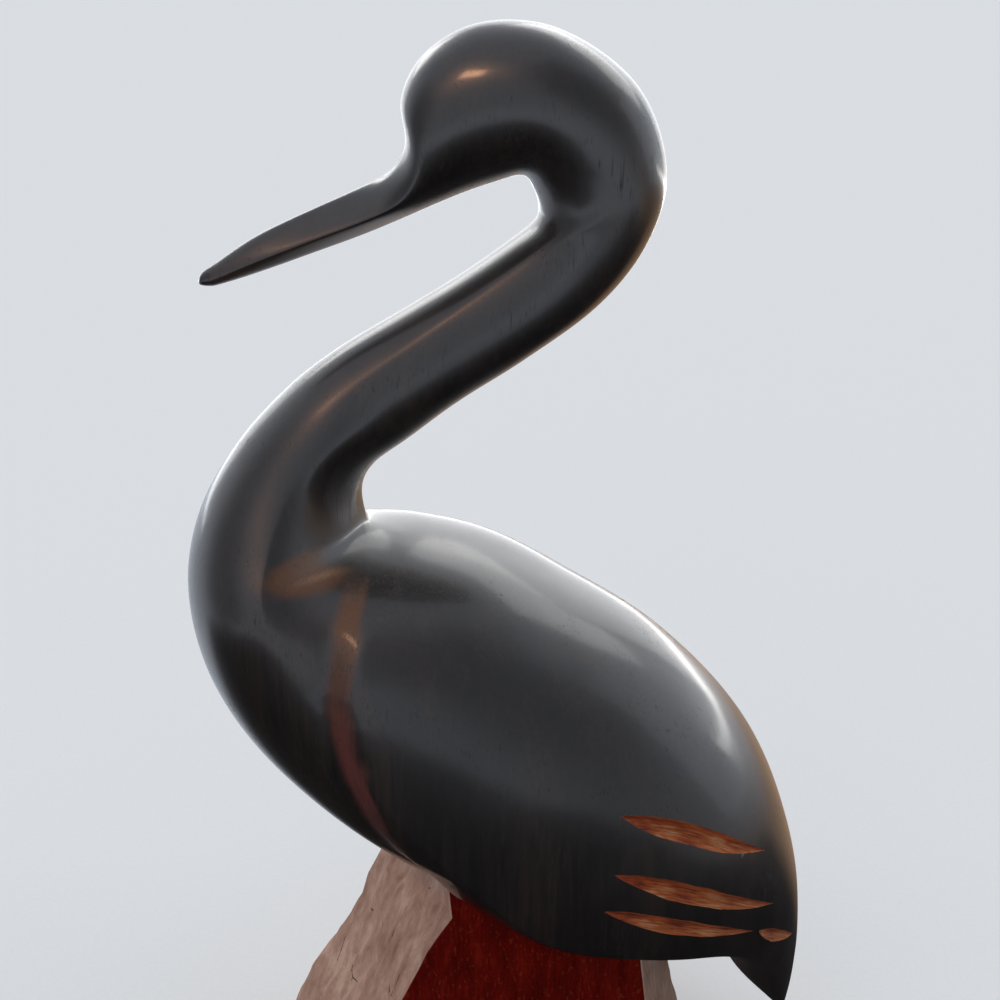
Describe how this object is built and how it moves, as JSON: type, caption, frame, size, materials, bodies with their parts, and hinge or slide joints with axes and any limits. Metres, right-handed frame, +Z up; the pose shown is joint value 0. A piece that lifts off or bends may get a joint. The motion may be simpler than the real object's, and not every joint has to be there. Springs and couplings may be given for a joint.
{
  "type": "pelican sculpture",
  "caption": "Pelican carved with a long bill, S-shaped neck, folded wings and raw feather cuts, in one block with its rough-hewn base.",
  "frame": {"origin": "middle of the base's flat underside", "axes": "+Z up; the bird faces -X with its tail towards +X; Y = 0 is the bird's mirror plane, and the picture looks along +Y"},
  "size_m": [0.1668, 0.094, 0.3039],
  "materials": {
    "ironwood": "near-black ironwood, hand rubbed to a satin polish on the bird, raw red and tan wood in the feather cuts and on the hewn base"
  },
  "bodies": {
    "root": {"pelican_carving": "ironwood"}
  },
  "joints": []
}
